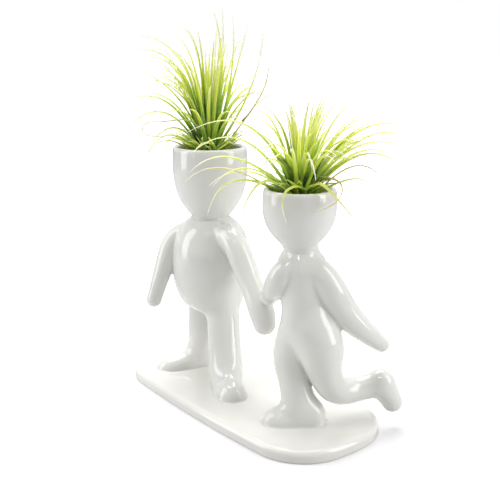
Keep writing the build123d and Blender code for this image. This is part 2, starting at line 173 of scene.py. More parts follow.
def leafMaterial(name, look):
    # a ramp along the leaf, shifted by its own tone and a mottle, with ridges and pale fuzz mixed over it
    material, shade = newMaterial(name)
    place = shade.node("ShaderNodeTexCoord", out="Object")
    along, across, tone = [shade.node("ShaderNodeAttribute", {"attribute_name": key}, out="Fac")
                           for key in ("leafAlong", "leafAcross", "leafTone")]
    mottle = shade.node("ShaderNodeTexNoise", None, {"Vector": place, "Scale": 320, "Detail": 3})
    scales = shade.node("ShaderNodeTexNoise", None, {"Vector": place, "Scale": 2600, "Detail": 1})
    age = along + (tone - 0.5) * look["toneSpread"] + (mottle - 0.5) * look["mottleSpread"]
    colour = shade.node("ShaderNodeValToRGB", {"stops": look["stops"]}, {"Fac": age})
    sideways = shade.node("ShaderNodeCombineXYZ", None, {"X": across})
    ridge = shade.node("ShaderNodeTexWave", {"wave_type": "BANDS", "bands_direction": "X"},
                       {"Vector": sideways, "Scale": 1.6}, out="Fac")
    colour = (ridge * look["ridgeShare"]).mixed(colour, look["stops"][1][1])
    colour = (scales.between(0.52, 0.75) * look["fuzzShare"] * (1 - along)).mixed(colour, look["fuzz"])
    bump = shade.node("ShaderNodeBump", None,
                      {"Height": ridge * 0.6 + scales * 0.25, "Strength": 0.35, "Distance": 0.0002})
    rough = look["roughness"] + mottle * 0.15
    finishMaterial(shade, {"Base Color": colour, "Roughness": rough, "Normal": bump,
                           "Specular IOR Level": 0.35, "Subsurface Weight": look["glow"],
                           "Subsurface Radius": look["glowReach"], "Subsurface Scale": look["glowDepth"]})
    return material


# Stem: brown fibre drawn out along its length
stemLook = {"dark": (0.05, 0.045, 0.015), "light": (0.17, 0.14, 0.06), "fibreScale": 900,
            "drawn": (1, 1, 0.15)}


def stemMaterial(name):
    # dark to light by a noise that is stretched upright, which gives the bump as well
    material, shade = newMaterial(name)
    place = shade.node("ShaderNodeTexCoord", out="Object")
    upright = shade.node("ShaderNodeMapping", None, {"Vector": place, "Scale": stemLook["drawn"]})
    fibre = shade.node("ShaderNodeTexNoise", None,
                       {"Vector": upright, "Scale": stemLook["fibreScale"], "Detail": 4})
    colour = fibre.between(0.3, 0.7).mixed(stemLook["dark"], stemLook["light"])
    bump = shade.node("ShaderNodeBump", None, {"Height": fibre, "Strength": 0.7, "Distance": 0.0006})
    finishMaterial(shade, {"Base Color": colour, "Roughness": 0.7 + fibre * 0.2, "Normal": bump})
    return material


whiteGlaze = glazeMaterial("whiteGlaze", glaze["white"], glaze["cloud"])
# the plate's glaze: the white glaze painted lighter, as painted light on its upturned top
litPlateGlaze = glazeMaterial("litPlateGlaze", glaze["plate"], glaze["litPlateCloud"])
greenLeaf = leafMaterial("greenLeaf", leafLook)
dryLeaf = leafMaterial("dryLeaf", dryLook)
stemFibre = stemMaterial("stemFibre")
print("materials:", whiteGlaze.name, litPlateGlaze.name, greenLeaf.name, dryLeaf.name, stemFibre.name)


def putPiece(name, points, faces, material, body, slot, nodes, values):
    # one smooth mesh at the origin, riding its body in place of the CAD nodes
    mesh = bpy.data.meshes.new(name)
    corners = [f for block in faces for f in block.tolist()]
    mesh.from_pydata((points / 1000).tolist(), [], corners, shade_flat=False)
    for key, value in values.items():
        mesh.attributes.new(key, "FLOAT", "POINT").data.foreach_set("value", value.astype(np.float32).ravel())
    mesh.materials.append(material)
    piece = bpy.data.objects.new(name, mesh)
    scene.collection.objects.link(piece)
    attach(piece, body)
    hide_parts(*nodes)
    print("piece:", name, len(points), "points")


def closedFaces(rows, columns):
    # quads of a grid whose columns close on themselves, and a fan at each end on the two points after it
    number = np.arange(rows * columns).reshape(rows, columns)
    beside = np.roll(number, -1, axis=1)
    quads = np.stack([number[:-1], beside[:-1], beside[1:], number[1:]], -1).reshape(-1, 4)
    first = np.stack([beside[0], number[0], np.full(columns, rows * columns)], -1)
    last = np.stack([number[-1], beside[-1], np.full(columns, rows * columns + 1)], -1)
    return [quads, np.concatenate([first, last])]


def turnedSurface(radius, height, poles):
    # radius by row and turn, carried about the upright axis at the row's height, with a pole at each end
    around = np.linspace(0, 2 * math.pi, radius.shape[1], endpoint=False)
    height = np.broadcast_to(height[:, None], radius.shape)
    points = np.stack([radius * np.cos(around), radius * np.sin(around), height], -1).reshape(-1, 3)
    return np.concatenate([points, [(0, 0, pole) for pole in poles]]), closedFaces(*radius.shape)


def pairsOf(faces):
    # each side of each face both ways, as a point and its neighbour
    edges = np.concatenate([np.stack([f, np.roll(f, -1, axis=1)], -1).reshape(-1, 2) for f in faces])
    return np.concatenate([edges, edges[:, ::-1]])


def meanOver(pairs, values, count):
    # mean of the pairs' values at each point
    number = np.maximum(np.bincount(pairs[:, 0], minlength=count), 1)
    return np.bincount(pairs[:, 0], values, minlength=count) / number


def neighbourMean(pairs, points):
    # middle of each point's neighbours
    return np.stack([meanOver(pairs, points[pairs[:, 1], axis], len(points)) for axis in range(3)], -1)


def hollowOf(points, faces, passes=6, strength=4):
    # hollow or proud: how far each point lies behind the mean of its neighbours, smoothed over the surface
    pairs, count = pairsOf(faces), len(points)
    normal = np.zeros_like(points)
    for f in faces:
        face = np.cross(points[f[:, 2]] - points[f[:, 0]], points[f[:, -1]] - points[f[:, 1]])
        for corner in range(f.shape[1]):
            for axis in range(3):
                normal[:, axis] += np.bincount(f[:, corner], face[:, axis], minlength=count)
    normal /= np.maximum(np.linalg.norm(normal, axis=1, keepdims=True), 1e-9)
    spacing = meanOver(pairs, np.linalg.norm(points[pairs[:, 1]] - points[pairs[:, 0]], axis=1), count)
    bend = ((neighbourMean(pairs, points) - points) * normal).sum(1) / np.maximum(spacing, 0.05) ** 2
    for _ in range(passes):
        bend = 0.5 * bend + 0.5 * meanOver(pairs, bend[pairs[:, 1]], count)
    return np.clip(bend * strength, -1, 1)


def smoothLine(knots, count):
    # natural cubic spline through the knots by chord length, read at even steps
    knots = np.asarray(knots, float)
    chord = np.r_[0, np.cumsum(np.linalg.norm(np.diff(knots[:, :3], axis=0), axis=1))]
    gap = np.diff(chord)[:, None]
    system = np.eye(len(knots))
    right = np.zeros_like(knots)
    for i in range(1, len(knots) - 1):
        system[i, i - 1:i + 2] = gap[i - 1, 0], 2 * (gap[i - 1, 0] + gap[i, 0]), gap[i, 0]
        right[i] = 6 * ((knots[i + 1] - knots[i]) / gap[i] - (knots[i] - knots[i - 1]) / gap[i - 1])
    bend = np.linalg.solve(system, right)
    at = np.linspace(0, chord[-1], count)
    k = np.clip(np.searchsorted(chord, at, side="right") - 1, 0, len(gap) - 1)
    far = ((at - chord[k]) / gap[k, 0])[:, None]
    near = 1 - far
    return near * knots[k] + far * knots[k + 1] + (
        (near**3 - near) * bend[k] + (far**3 - far) * bend[k + 1]) * gap[k] ** 2 / 6


farOff = 99.0  # stands for the distance of points that are out of a form's reach, in mm
# Limbs: points along a middle line, and the share of the end radius that a free end is drawn back by
limbForm = {"steps": 72, "drawnBack": 0.85}


def limbPath(spot, stations, free=(False, True)):
    # middle line and radius through the stations, drawn back at a free end, which the round tip fills
    line = smoothLine(np.asarray(stations, float) + [*spot, 0], limbForm["steps"])
    run = np.r_[0, np.cumsum(np.linalg.norm(np.diff(line[:, :3], axis=0), axis=1))]
    start = line[0, 3] * limbForm["drawnBack"] if free[0] else 0
    stop = run[-1] - (line[-1, 3] * limbForm["drawnBack"] if free[1] else 0)
    return line[(run >= start) & (run <= stop)]


def limbField(points, path, reach=10):
    # distance to the limb's middle line, less its radius at the nearest place
    field = np.full(len(points), farOff)
    wide = path[:, 3].max() + reach
    near = ((points > path[:, :3].min(0) - wide) & (points < path[:, :3].max(0) + wide)).all(1)
    p = points[near]
    best, radius = np.full(len(p), np.inf), np.zeros(len(p))
    for a, b in zip(path[:-1], path[1:]):
        run = b[:3] - a[:3]
        t = np.clip((p - a[:3]) @ run / (run @ run), 0, 1)
        gap = ((p - a[:3] - t[:, None] * run) ** 2).sum(1)
        closer = gap < best
        best = np.where(closer, gap, best)
        radius = np.where(closer, a[3] + t * (b[3] - a[3]), radius)
    field[near] = np.sqrt(best) - radius
    return field


def turnedField(points, spot, profile, reach=10):
    # signed distance to a turned form, measured in its half plane; the profile's heights rise
    field = np.full(len(points), farOff)
    flat = np.stack([np.hypot(points[:, 0] - spot[0], points[:, 1] - spot[1]), points[:, 2] - spot[2]], -1)
    near = ((flat < profile.max(0) + reach) & (flat > profile.min(0) - reach)).all(1)
    p = flat[near]
    best = np.full(len(p), np.inf)
    for a, b in zip(profile[:-1], profile[1:]):
        run = b - a
        t = np.clip((p - a) @ run / (run @ run), 0, 1)
        best = np.minimum(best, ((p - a - t[:, None] * run) ** 2).sum(1))
    inside = p[:, 0] < np.interp(p[:, 1], profile[:, 1], profile[:, 0], left=-1, right=-1)
    field[near] = np.where(inside, -1, 1) * np.sqrt(best)
    return field


# Shoes: end radii as shares of the width, and fullness, where 2 is an ellipse and more is squarer
shoeForm = {"heel": 0.49, "toe": 0.5, "fullness": 2.1}


def shoeField(points, spot, shoe):
    # half an ellipsoid drawn out from heel to toe on the plate, lower at the toe and longer in its point
    angle = math.radians(shoe["heading"])
    q = points - (spot + [*shoe["heel"], 0])
    ahead = q[:, 0] * math.cos(angle) + q[:, 1] * math.sin(angle)
    side = q[:, 1] * math.cos(angle) - q[:, 0] * math.sin(angle)
    heel, toe = shoe["width"] * shoeForm["heel"], shoe["width"] * shoeForm["toe"]
    stride = shoe["length"] - heel - toe * shoe["drawn"]
    t = np.clip(ahead / stride, 0, 1)
    radius = heel + t * (toe - heel)
    rise = np.maximum(q[:, 2], 0) * radius / (shoe["height"] - shoe["fall"] * t)
    beyond = (ahead - t * stride) / np.where(ahead > stride, shoe["drawn"], 1)
    full = shoeForm["fullness"]
    return (np.hypot(beyond, side) ** full + rise**full) ** (1 / full) - radius


def melt(a, b, width):
    # cubic smooth minimum: two forms run together over this width
    share = np.maximum(width - np.abs(a - b), 0) / width
    return np.minimum(a, b) - share**3 * width / 6


# Glaze beads: how far they end inside the neighbour in mm, and how far they may spread in bead widths
bead = {"sink": 0.1, "spread": 1.1}


def touching(body, other, width):
    # the glaze bead where the body meets a neighbour: flares onto it, and ends just inside it
    return np.maximum(melt(body, other + bead["sink"], width), body - bead["spread"] * width)


def slopeOf(field, points, step=0.05):
    # central differences of the field along the three axes
    return np.stack([field(points + s) - field(points - s) for s in np.eye(3) * step], -1) / (2 * step)


def fillSplits(value, justSolid=-0.01):
    # a cell face whose two solid corners lie across from each other would pinch the skin, so the shallower
    # of its two open corners is made solid
    for axis in [0, 1, 2] * 4:
        v = np.moveaxis(value, axis, 0)
        s = v < 0
        near, far = s[:, :-1, :-1], s[:, 1:, :-1]
        split = (near == s[:, 1:, 1:]) & (far == s[:, :-1, 1:]) & (near != far)
        i, j, k = np.nonzero(split)
        lead = near[split].astype(int)
        shallow = v[i, j + lead, k] < v[i, j + 1 - lead, k + 1]
        v[i, np.where(shallow, j + lead, j + 1 - lead), np.where(shallow, k, k + 1)] = justSolid


def netOf(value, lattice):
    # surface nets: in each cell that the surface crosses, a point at the mean of the crossings on its edges
    cells = tuple(n - 1 for n in value.shape)
    total, crossed = np.zeros(cells + (3,)), np.zeros(cells)
    for axis in range(3):
        unit = np.roll([1, 0, 0], axis)
        for pair in ((0, 0), (0, 1), (1, 0), (1, 1)):
            start = np.roll([0, *pair], axis)
            a, b = (value[tuple(slice(s, s + n) for s, n in zip(c, cells))] for c in (start, start + unit))
            cross = (a < 0) != (b < 0)
            share = np.where(cross, a / np.where(cross, a - b, 1), 0)
            total += np.where(cross[..., None], start + share[..., None] * unit, 0)
            crossed += cross
    used = crossed > 0
    cell = lattice[1, 1, 1] - lattice[0, 0, 0]
    points = lattice[:-1, :-1, :-1][used] + total[used] / crossed[used][:, None] * cell
    number = np.full(cells, -1)
    number[used] = np.arange(len(points))
    return points, number


def netFaces(value, number):
    # a quad round each grid edge that goes through the surface, over the points of its four cells
    solid = value < 0
    quads = []
    for axis in range(3):
        turn = (axis, (axis + 1) % 3, (axis + 2) % 3)
        s, n = solid.transpose(turn), number.transpose(turn)
        far = s[1:, 1:-1, 1:-1]
        change = far != s[:-1, 1:-1, 1:-1]
        quad = np.stack([n[:, :-1, :-1], n[:, 1:, :-1], n[:, 1:, 1:], n[:, :-1, 1:]], -1)[change]
        flip = far[change]
        quad[flip] = quad[flip][:, ::-1]
        quads.append(quad)
    return np.concatenate(quads)


def skinOf(field, low, high, cell, passes=3, leastSlope=0.2, longestStep=0.5):
    # the net of the field on a grid, its points evened out and then drawn onto the surface along its slope
    axes = [np.arange(a, b + cell, cell) for a, b in zip(low, high)]
    lattice = np.stack(np.meshgrid(*axes, indexing="ij"), -1)
    value = field(lattice.reshape(-1, 3)).reshape(lattice.shape[:3])
    fillSplits(value)
    points, number = netOf(value, lattice)
    quads = netFaces(value, number)
    pairs = pairsOf([quads])
    for _ in range(passes):
        points = 0.5 * points + 0.5 * neighbourMean(pairs, points)
        slope = slopeOf(field, points)
        steep = np.maximum((slope**2).sum(1), leastSlope)
        points -= np.clip(field(points) / steep, -longestStep, longestStep)[:, None] * slope
    return points, [quads]


skinCell = 0.85
profileSteps = 90

# Tall figure: limbs as (x, y, height, radius) from its standing point, torso as (radius, height)
tallFigure = {
    "torso": [(0, 40.5), (9.8, 42.3), (17.2, 47.8), (21.8, 56.8), (23.6, 68), (23.1, 79), (21, 89),
              (17.5, 95.4), (12.4, 100), (0, 100.01)],
    "head": {"neck": 100, "neckRadius": 12.4, "height": 43, "radius": 22.2, "cheek": 17.9, "rim": 21.7,
             "depth": 27},
    "outerArm": [(-4, -5, 91, 7), (-12.5, -15.5, 88, 6.5), (-16, -23, 72, 5.8), (-18, -28, 56, 4.8),
                 (-19.5, -31, 45, 4.4)],
    "innerArm": [(8, -2, 91, 7), (21, -2, 92, 7.2), (33, -2, 80, 7.2), (43, -2, 66, 6.6), (51.5, -2, 53, 7.2),
                 (54.5, -1.5, 42, 5.2)],
    "outerLeg": [(-8, 1, 47, 9.8), (-12.5, 2.5, 29, 9.8), (-16.5, 4.5, 14, 9.2), (-17.5, 5, -2, 9.2)],
    "innerLeg": [(10, 1, 49, 9.8), (14.5, -1.5, 29, 9.8), (18.5, -3.5, 14, 9.2), (19.5, -4, -2, 9.2)],
    "outerShoe": {"heel": (-17.5, 5), "heading": 256, "length": 40, "width": 18.4, "height": 11.5, "fall": 4,
                  "drawn": 1.3},
    "innerShoe": {"heel": (19.5, -4), "heading": 332, "length": 39, "width": 19, "height": 18, "fall": 8,
                  "drawn": 1.35},
    "outerArmBlend": 2.4, "innerArmBlend": 3.6, "outerLegBlend": 2.6, "innerLegBlend": 9, "ankleBlend": 11,
    "footBead": 2.2, "neckBead": 2.6, "low": (-38, -38, -1.2), "high": (66, 27, 106),
}
# Short figure: the raised leg is the near one, and the inner arm lies over the chest
shortFigure = {
    "torso": [(1, 1, 96, 8.8), (1, 1, 91, 12.1), (1.5, 1.5, 83, 13.6), (3.5, 2.4, 66, 12.6),
              (5, 2.9, 56, 14)],
    "head": {"neck": 96, "neckRadius": 8.8, "height": 33.2, "radius": 19.6, "cheek": 14.3, "rim": 19.1,
             "depth": 22},
    "outerArm": [(4, 0, 89, 7.4), (11.5, 3.5, 85, 7.8), (18, 13.4, 67.1, 8), (24.1, 25.4, 52.2, 6.2),
                 (29.5, 39, 40, 3.6)],
    "innerArm": [(3, -3, 91, 5), (-0.4, -10.2, 85, 6.6), (-2.6, -11.4, 81, 6.7), (-8, -9.7, 75, 6.4),
                 (-16.5, -5, 69, 5.6), (-25, -1, 63, 5)],
    "standingLeg": [(1.5, 1, 56, 7.5), (-1.4, -1.6, 44, 9.8), (-2.6, -2.9, 34, 9.2), (-0.6, -2.6, 26, 8.7),
                    (2.6, -2.3, 15.7, 8.8), (5.6, 0.6, -2, 9.4)],
    "raisedLeg": [(7, 2.8, 60, 8.5), (11, 3.6, 51, 12.2), (13, 5, 42, 12.8), (14.3, 7, 30.2, 9.7),
                  (17, 12.6, 19, 8), (20.5, 25.6, 16.2, 6.9), (27.4, 37, 18.8, 6.8)],
    "raisedFoot": [(27.2, 36.8, 25.6, 5.8), (29, 39, 17.5, 6.5), (33, 45, 4, 5.1)],
    "standingShoe": {"heel": (9.5, 3), "heading": 235, "length": 36, "width": 17, "height": 11, "fall": 2.4,
                     "drawn": 1.25},
    "armBlend": 3, "innerArmBlend": 1.2, "hipBlend": 10, "thighBlend": 2.5, "raisedBlend": 10, "heelBlend": 6,
    "ankleBlend": 10, "footBead": 2.2, "neckBead": 2.6, "handBead": 2.4,
    "neckTop": 103, "low": (-36, -28, -1.2), "high": (42, 54, 106),
}
# Cups: wall, height of the rolled lip, flat of the floor, and turns round the axis
cupForm = {"wall": 3.0, "lip": 1.5, "floor": 8, "turns": 168, "lipSteps": 14, "insideSteps": 60}
# Feet: depth that they reach into the plate, and height over which leg and shoe come to run together
footForm = {"sunk": 0.8, "rise": 9}


def headProfile(head):
    # outside of the cup, from the middle of its foot to the rim: a spline through shares of the height
    span, foot, cheek, radius = head["height"], head["neckRadius"], head["cheek"], head["radius"]
    knots = [(0, -2.5), (foot * 0.72, -1), (foot, span * 0.06), (cheek, span * 0.25),
             ((cheek + radius * 2) / 3, span * 0.43), (radius, span * 0.72), (head["rim"], span)]
    return smoothLine(np.array(knots) + [0, head["neck"]], profileSteps)


def cupSurface(spot, head):
    # the outside profile, a rolled lip, the bowl's wall and its floor, turned about the upright axis
    top, depth, rim = head["neck"] + head["height"], head["depth"], head["rim"]
    wall, lip = cupForm["wall"], cupForm["lip"]
    under = top - lip - 0.1
    outside = headProfile(head)
    outside = outside[outside[:, 1] < under]
    roll = np.linspace(0, math.pi, cupForm["lipSteps"])[:, None]
    rolled = np.c_[rim - wall / 2 + wall / 2 * np.cos(roll), top - lip + lip * np.sin(roll)]
    inside = smoothLine([(rim - wall, under), (rim - wall - 0.5, top - depth * 0.35),
                         (rim * 0.72, top - depth * 0.72), (cupForm["floor"], top - depth),
                         (0.4, top - depth)], cupForm["insideSteps"])
    profile = np.concatenate([outside[1:], rolled, inside[1:]])
    radius = np.repeat(profile[:, :1], cupForm["turns"], axis=1)
    points, faces = turnedSurface(radius, profile[:, 1], (outside[0, 1], top - depth))
    return points + spot, faces


def headField(points, spot, head):
    # signed distance to the cup's outside, closed flat across the rim
    lid = (0, head["neck"] + head["height"] + 0.01)
    return turnedField(points, spot, np.concatenate([headProfile(head), [lid]]))


def footedLeg(points, spot, stations, shoe, blend):
    # leg and shoe, run together less and less towards the sole, where their sides are one
    leg = limbField(points, limbPath(spot, stations, (False, False)))
    height = (points[:, 2] - plateTop) / footForm["rise"]
    return melt(leg, shoeField(points, spot, shoe), blend * np.clip(height, 0.1, 1))


def tallField(points):
    # turned torso, legs with their beads on the plate and arms, each melted on, then the bead at the neck
    f, spot = tallFigure, tallSpot
    ground = points[:, 2] - plateTop
    torso = np.concatenate([smoothLine(f["torso"][:-1], profileSteps), f["torso"][-1:]])
    body = turnedField(points, spot, torso)
    for side in ("outer", "inner"):
        leg = footedLeg(points, spot, f[side + "Leg"], f[side + "Shoe"], f["ankleBlend"])
        body = melt(body, touching(leg, ground, f["footBead"]), f[side + "LegBlend"])
    for side in ("outer", "inner"):
        body = melt(body, limbField(points, limbPath(spot, f[side + "Arm"])), f[side + "ArmBlend"])
    body = touching(body, headField(points, spot, f["head"]), f["neckBead"])
    return np.maximum(body, -footForm["sunk"] - ground)


def shortField(points):
    # torso melted with each leg, then arms, and the beads at the neck and on the tall figure's hand
    f, spot = shortFigure, shortSpot
    ground = points[:, 2] - plateTop
    torso = limbField(points, limbPath(spot, f["torso"], (False, False)))
    standing = footedLeg(points, spot, f["standingLeg"], f["standingShoe"], f["ankleBlend"])
    standing = touching(standing, ground, f["footBead"])
    raised = melt(limbField(points, limbPath(spot, f["raisedLeg"], (False, False))),
                  limbField(points, limbPath(spot, f["raisedFoot"], (True, True))), f["heelBlend"])
    body = melt(melt(torso, raised, f["raisedBlend"]), melt(torso, standing, f["hipBlend"]), f["thighBlend"])
    body = melt(body, limbField(points, limbPath(spot, f["outerArm"])), f["armBlend"])
    body = melt(body, limbField(points, limbPath(spot, f["innerArm"])), f["innerArmBlend"])
    hand = limbField(points, limbPath(tallSpot, tallFigure["innerArm"]))
    skin = touching(body, headField(points, spot, f["head"]), f["neckBead"])
    skin = melt(skin, hand + bead["sink"], f["handBead"])
    skin = np.maximum(skin, body - bead["spread"] * max(f["handBead"], f["neckBead"]))
    skin = np.maximum(skin, ground - f["neckTop"])  # ends inside the cup's floor
    return np.maximum(skin, -footForm["sunk"] - ground)


def addFigure(name, figure, spot, field, nodes):
    # the body as one skin, and the head as a turned cup
    body = skinOf(field, spot + figure["low"], spot + figure["high"], skinCell)
    cup = cupSurface(spot, figure["head"])
    for piece, surface, replaced in (("FigureSkin", body, nodes), ("HeadCup", cup, [name + "_head_cup"])):
        putPiece(name + piece, *surface, whiteGlaze, "holder", "white_glaze", replaced,
                 {"glazePool": hollowOf(*surface)})


addFigure("tall", tallFigure, tallSpot, tallField,
          ["tall_torso", "tall_outer_arm", "tall_inner_arm", "tall_outer_leg", "tall_inner_leg"])
addFigure("short", shortFigure, shortSpot, shortField,
          ["short_torso", "short_outer_arm", "short_inner_arm", "short_standing_leg", "short_raised_leg"])


# Plate: bowed oval of four arcs and rounded corners, with a rolled upper edge
plate = {"length": 177, "width": 82, "sideBow": 4, "endBow": 7, "corner": 31, "topRound": 3.2,
         "footRound": 1.0, "insets": (6, 14), "endSteps": 20, "cornerSteps": 44, "sideSteps": 40,
         "roundSteps": 12}


def plateOutline():
    # a quarter of end, corner and side arcs by the angle of the normal, mirrored to the other quarters
    halfX, halfY = plate["length"] / 2 - plate["endBow"], plate["width"] / 2 - plate["sideBow"]
    sideRadius = (halfX**2 + plate["sideBow"] ** 2) / (2 * plate["sideBow"])
    endRadius = (halfY**2 + plate["endBow"] ** 2) / (2 * plate["endBow"])
    side = np.array([0, plate["width"] / 2 - sideRadius])
    end = np.array([plate["length"] / 2 - endRadius, 0])
    near, far = sideRadius - plate["corner"], endRadius - plate["corner"]
    apart = np.linalg.norm(end - side)
    along = (near**2 - far**2 + apart**2) / (2 * apart)
    axis = (end - side) / apart
    corner = side + axis * along + np.array([axis[1], -axis[0]]) * math.sqrt(near**2 - along**2)
    endTurn = math.atan2(*(corner - end)[::-1])
    sideTurn = math.atan2(*(corner - side)[::-1])
    turn = np.concatenate([np.linspace(0, endTurn, plate["endSteps"], endpoint=False),
                           np.linspace(endTurn, sideTurn, plate["cornerSteps"], endpoint=False),
                           np.linspace(sideTurn, math.pi / 2, plate["sideSteps"], endpoint=False)])
    middle = np.select([turn[:, None] < endTurn, turn[:, None] < sideTurn], [end, corner], side)
    radius = np.select([turn < endTurn, turn < sideTurn], [endRadius, plate["corner"]], sideRadius)
    turn, radius = np.r_[turn, math.pi - turn[:0:-1]], np.r_[radius, radius[:0:-1]]
    middle = np.concatenate([middle, middle[:0:-1] * [-1, 1]])
    return np.r_[turn, turn + math.pi], np.r_[radius, radius], np.concatenate([middle, -middle])


def plateSurface():
    # each outline point is an arc's middle plus its radius along the normal, which an inset shortens
    turn, radius, middle = plateOutline()
    normal = np.stack([np.cos(turn), np.sin(turn)], -1)
    r, s = plate["footRound"], plate["topRound"]
    quarter = np.linspace(0, math.pi / 2, plate["roundSteps"])
    profile = np.concatenate([[(inset, 0) for inset in plate["insets"][::-1]],
                              np.c_[r - r * np.sin(quarter), r - r * np.cos(quarter)],
                              np.c_[s - s * np.cos(quarter), plateTop - s + s * np.sin(quarter)],
                              [(inset, plateTop) for inset in plate["insets"]]])
    flat = middle + (radius - profile[:, :1])[..., None] * normal
    points = np.concatenate([flat, np.broadcast_to(profile[:, None, 1:], flat.shape[:2] + (1,))], -1)
    faces = closedFaces(*flat.shape[:2])
    return np.concatenate([points.reshape(-1, 3), [(0, 0, 0), (0, 0, plateTop)]]), faces


surface = plateSurface()
putPiece("glazedPlate", *surface, litPlateGlaze, "holder", "white_glaze", ["base_plate"],
         {"glazePool": hollowOf(*surface)})

# Tall plant: upright and arching, with a dry curl and a forked dry leaf
tallPlant = {
    "rim": 143, "seed": 4,
    # azimuth, root height, arch point and tip, each (reach, height) from the rim's middle
    "leaves": [
        (215, 2, (2, 72), (22, 68)), (241, 1, (9, 64), (41, 63)), (224, -1, (13, 64), (46, 54)),
        (251, 0, (14, 56), (37, 51)), (205, -2, (16, 56), (43, 33)), (263, 0, (12, 46), (30, 32)),
        (229, -3, (24, 42), (51, 24)), (243, -4, (28, 42), (55, 2)), (255, -4, (22, 27), (41, -3)),
        (235, -5, (26, 20), (39, -8)), (218, -4, (31, 15), (26, -10)), (52, -1, (30, 34), (31, 64)),
        (72, 1, (20, 54), (24, 69)), (33, 1, (18, 43), (16, 73)), (96, 2, (14, 46), (15, 78)),
        (14, 1, (15, 50), (7, 75)), (330, 2, (6, 40), (4, 60)), (120, 0, (14, 50), (30, 58)),
        (143, -1, (18, 42), (40, 36)), (166, -2, (20, 45), (48, 28)), (186, 1, (10, 58), (28, 62)),
        (153, -4, (30, 28), (50, 8)), (108, -3, (26, 30), (44, 14)), (178, -5, (29, 20), (42, -5)),
        (284, 0, (8, 40), (18, 44)), (300, -3, (14, 28), (28, 22)), (318, -1, (10, 36), (20, 36)),
        (345, -3, (14, 28), (28, 20)), (2, -2, (18, 26), (30, 16)), (198, 3, (3, 52), (8, 66)),
        (82, 3, (3, 56), (5, 70)), (208, 1, (7, 46), (19, 53)), (232, 0, (9, 46), (26, 49)),
        (272, 1, (6, 38), (16, 52)), (310, 1, (5, 44), (11, 57)), (24, 1, (9, 40), (15, 58)),
        (62, 1, (10, 48), (19, 61)), (114, 1, (8, 50), (19, 66)), (156, 1, (8, 46), (23, 56)),
        (247, -2, (19, 36), (41, 31)), (276, -2, (16, 30), (34, 20)), (131, -2, (20, 36), (43, 25)),
        (90, -2, (18, 36), (36, 35)),
    ],
    # lesser leaves, drawn by chance within ranges: round the mouth, upright, and arching where there is room
    "fills": [
        {"count": 58, "sector": (0, 360), "root": (-5.5, -4), "archReach": (10, 15), "archHeight": (-2, 6),
         "tipReach": (17, 24), "tipHeight": (2.5, 9)},
        {"count": 8, "sector": (-10, 130), "root": (-1, 2), "archReach": (2, 9), "archHeight": (28, 48),
         "tipReach": (6, 20), "tipHeight": (42, 62)},
        {"count": 12, "sector": (190, 75), "root": (-2, 1), "archReach": (8, 16), "archHeight": (36, 54),
         "tipReach": (26, 44), "tipHeight": (34, 58)},
        {"count": 14, "sector": (70, 120), "root": (-3, 0), "archReach": (12, 20), "archHeight": (28, 44),
         "tipReach": (30, 47), "tipHeight": (14, 44)},
    ],
    # leaves that curl over the rim, as knots from its middle
    "curls": [
        [(4, -1, -4), (9.5, -4, 1), (12.5, -8.5, 3.5), (13.5, -13.5, 4), (15.5, -18.5, 3), (15.5, -21.5, 0),
         (15, -22.5, -3.5)],
    ],
    # dry leaves as the green ones, and dry strands as knots
    "dry": [(228, -8, (30, 16), (41, -12))],
    "strands": [
        [(1, -3, 0), (1.5, -8, 11), (-1.5, -13, 15.5), (-5.5, -19.5, 16), (-11.5, -28.5, 15),
         (-15, -34.5, 14), (-15.5, -36.5, 11), (-13, -35.5, 8), (-9.5, -32.5, 7), (-5.5, -29, 7)],
        [(4, 2, -6), (9, 8, 4), (12, 12, 10.5), (13.5, 17, 17), (14.5, 23, 23.5), (16.5, 30.5, 28.5),
         (20, 37.5, 32.5)],
        [(12.5, 14.5, 14.5), (13.5, 17, 17), (15, 21.5, 23), (17.5, 24.5, 29.5), (19.5, 27, 37.5),
         (20.5, 28, 46)],
    ],
}
